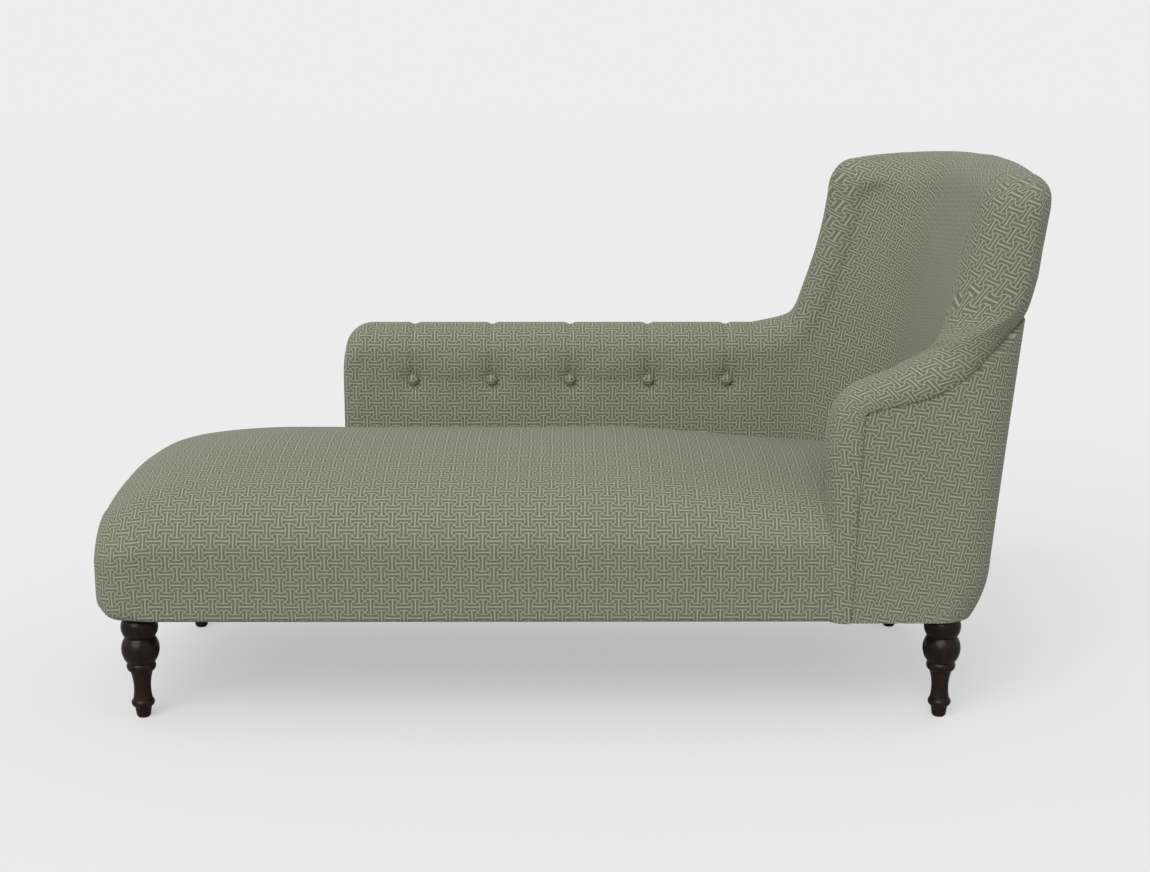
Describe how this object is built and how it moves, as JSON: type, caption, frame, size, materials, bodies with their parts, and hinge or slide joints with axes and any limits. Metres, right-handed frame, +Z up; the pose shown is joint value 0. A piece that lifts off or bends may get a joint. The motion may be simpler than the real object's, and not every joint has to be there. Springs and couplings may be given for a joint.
{
  "type": "chaise longue",
  "caption": "Tight-upholstered chaise longue with a long crowned seat, a low buttoned far arm, a tall swept back with a padded roll, and turned dark legs.",
  "frame": {"origin": "on the floor, under the middle of the outline", "axes": "+X along the seat to the head end, +Y away from the open near side to the buttoned arm, +Z up"},
  "size_m": [1.6951, 0.6637, 0.9978],
  "materials": {
    "fabric": "woven fretwork pattern, matt",
    "leg_wood": "dark stain, satin lacquer",
    "frame_wood": "planed beech, bare",
    "steel": "zinc plated",
    "foam": "soft upholstery filling",
    "webbing": "woven band",
    "hessian": "open plain weave",
    "dust_cloth": "thin non-woven cloth",
    "glide_plastic": "plain",
    "twine": "twisted twine",
    "toggle_card": "plain washer"
  },
  "bodies": {
    "root": {"arm_buttons": "fabric", "arm_hessian": "hessian", "back_cover": "fabric", "back_hessian": "hessian", "back_mid_rail": "frame_wood", "back_outside_panel": "fabric", "back_padding": "foam", "back_post": "frame_wood", "back_top_rail": "frame_wood", "back_webbing": "webbing", "button_ties": "twine", "button_toggles": "toggle_card", "corner_blocks": "frame_wood", "corner_post": "frame_wood", "cross_rails": "frame_wood", "dust_cover": "dust_cloth", "far_arm_cover": "fabric", "far_arm_front": "fabric", "far_arm_padding": "foam", "far_arm_posts": "frame_wood", "far_arm_rail": "frame_wood", "far_outside_panel": "fabric", "hanger_bolts": "steel", "leg_foot_far": "leg_wood", "leg_foot_near": "leg_wood", "leg_glides": "glide_plastic", "leg_head_far": "leg_wood", "leg_head_near": "leg_wood", "leg_nuts": "steel", "near_arm_inside_cover": "fabric", "near_arm_padding": "foam", "near_arm_post": "frame_wood", "near_arm_rail": "frame_wood", "near_outside_panel": "fabric", "rail_far": "frame_wood", "rail_foot": "frame_wood", "rail_head": "frame_wood", "rail_near": "frame_wood", "roll_cover": "fabric", "roll_padding": "foam", "seat_cover": "fabric", "seat_foam": "foam", "seat_hessian": "hessian", "seat_webbing_across": "webbing", "seat_webbing_along": "webbing", "wing_post": "frame_wood", "wing_rail": "frame_wood"}
  },
  "joints": []
}
